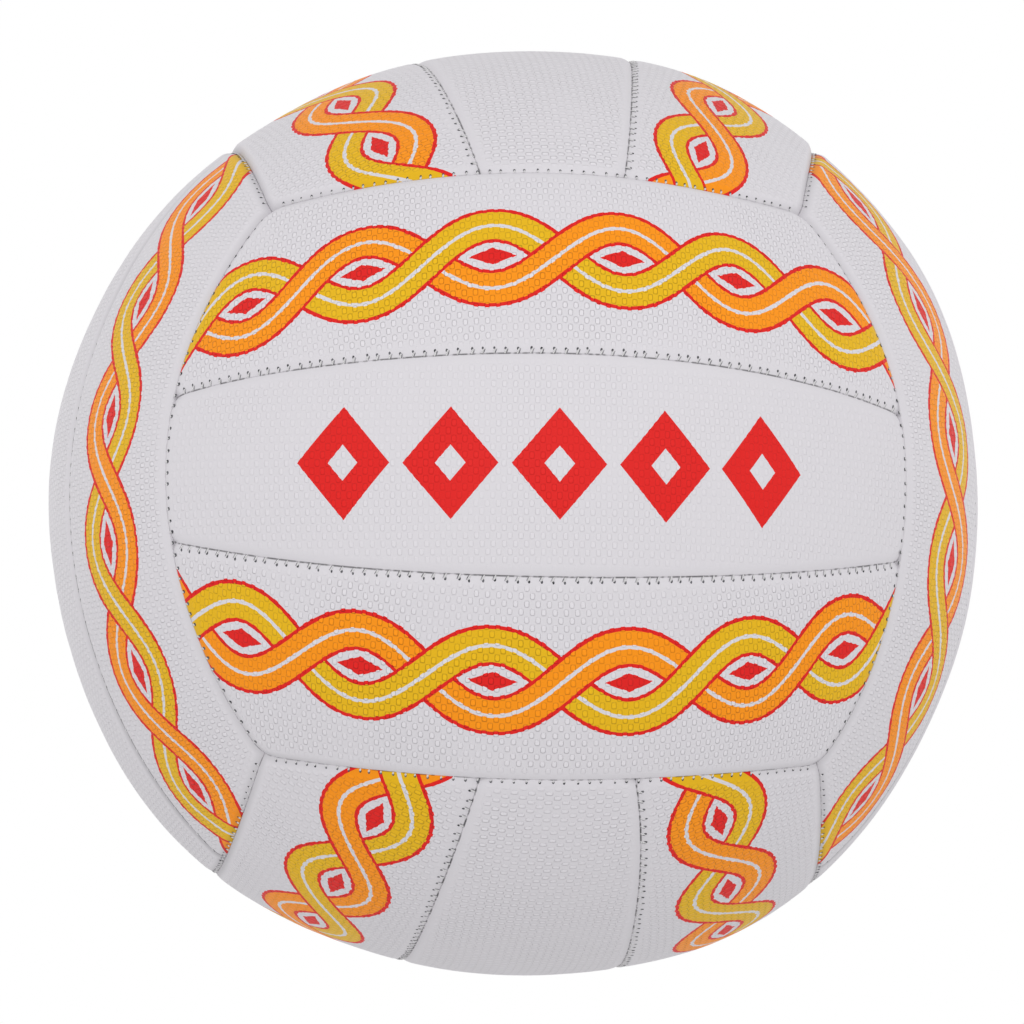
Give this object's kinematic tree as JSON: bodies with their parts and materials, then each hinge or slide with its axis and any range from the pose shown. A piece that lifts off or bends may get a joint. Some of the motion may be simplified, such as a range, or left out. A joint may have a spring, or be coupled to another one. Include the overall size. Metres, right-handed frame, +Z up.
{
  "type": "netball",
  "caption": "Inflated match ball: embossed strip panels sewn into a round cover over padding, a hollow rubber bladder and a needle valve.",
  "frame": {"origin": "centre of the ball", "axes": "+Z up through the middle of the top face, -Y out of the front face, +Y out through the valve; the panel seams are symmetric about all three axes"},
  "size_m": [0.2228, 0.2227, 0.2228],
  "materials": {
    "cover": "embossed matte synthetic leather with a printed pattern",
    "padding": "foam on woven cloth",
    "thread": "waxed white sewing thread",
    "bladder": "smooth butyl rubber",
    "valve_housing": "moulded rubber",
    "valve_core": "moulded rubber"
  },
  "bodies": {
    "root": {"bladder": "bladder", "padding_back_lower": "padding", "padding_back_middle": "padding", "padding_back_upper": "padding", "padding_bottom_left": "padding", "padding_bottom_middle": "padding", "padding_bottom_right": "padding", "padding_front_lower": "padding", "padding_front_middle": "padding", "padding_front_upper": "padding", "padding_left_back": "padding", "padding_left_front": "padding", "padding_left_middle": "padding", "padding_right_back": "padding", "padding_right_front": "padding", "padding_right_middle": "padding", "padding_top_left": "padding", "padding_top_middle": "padding", "padding_top_right": "padding", "panel_back_lower": "cover", "panel_back_middle": "cover", "panel_back_upper": "cover", "panel_bottom_left": "cover", "panel_bottom_middle": "cover", "panel_bottom_right": "cover", "panel_front_lower": "cover", "panel_front_middle": "cover", "panel_front_upper": "cover", "panel_left_back": "cover", "panel_left_front": "cover", "panel_left_middle": "cover", "panel_right_back": "cover", "panel_right_front": "cover", "panel_right_middle": "cover", "panel_top_left": "cover", "panel_top_middle": "cover", "panel_top_right": "cover", "thread_back_ends": "thread", "thread_back_strips": "thread", "thread_bottom_ends": "thread", "thread_bottom_strips": "thread", "thread_front_ends": "thread", "thread_front_strips": "thread", "thread_left_ends": "thread", "thread_left_strips": "thread", "thread_right_ends": "thread", "thread_right_strips": "thread", "thread_top_ends": "thread", "thread_top_strips": "thread", "valve_core": "valve_core", "valve_housing": "valve_housing"}
  },
  "joints": []
}
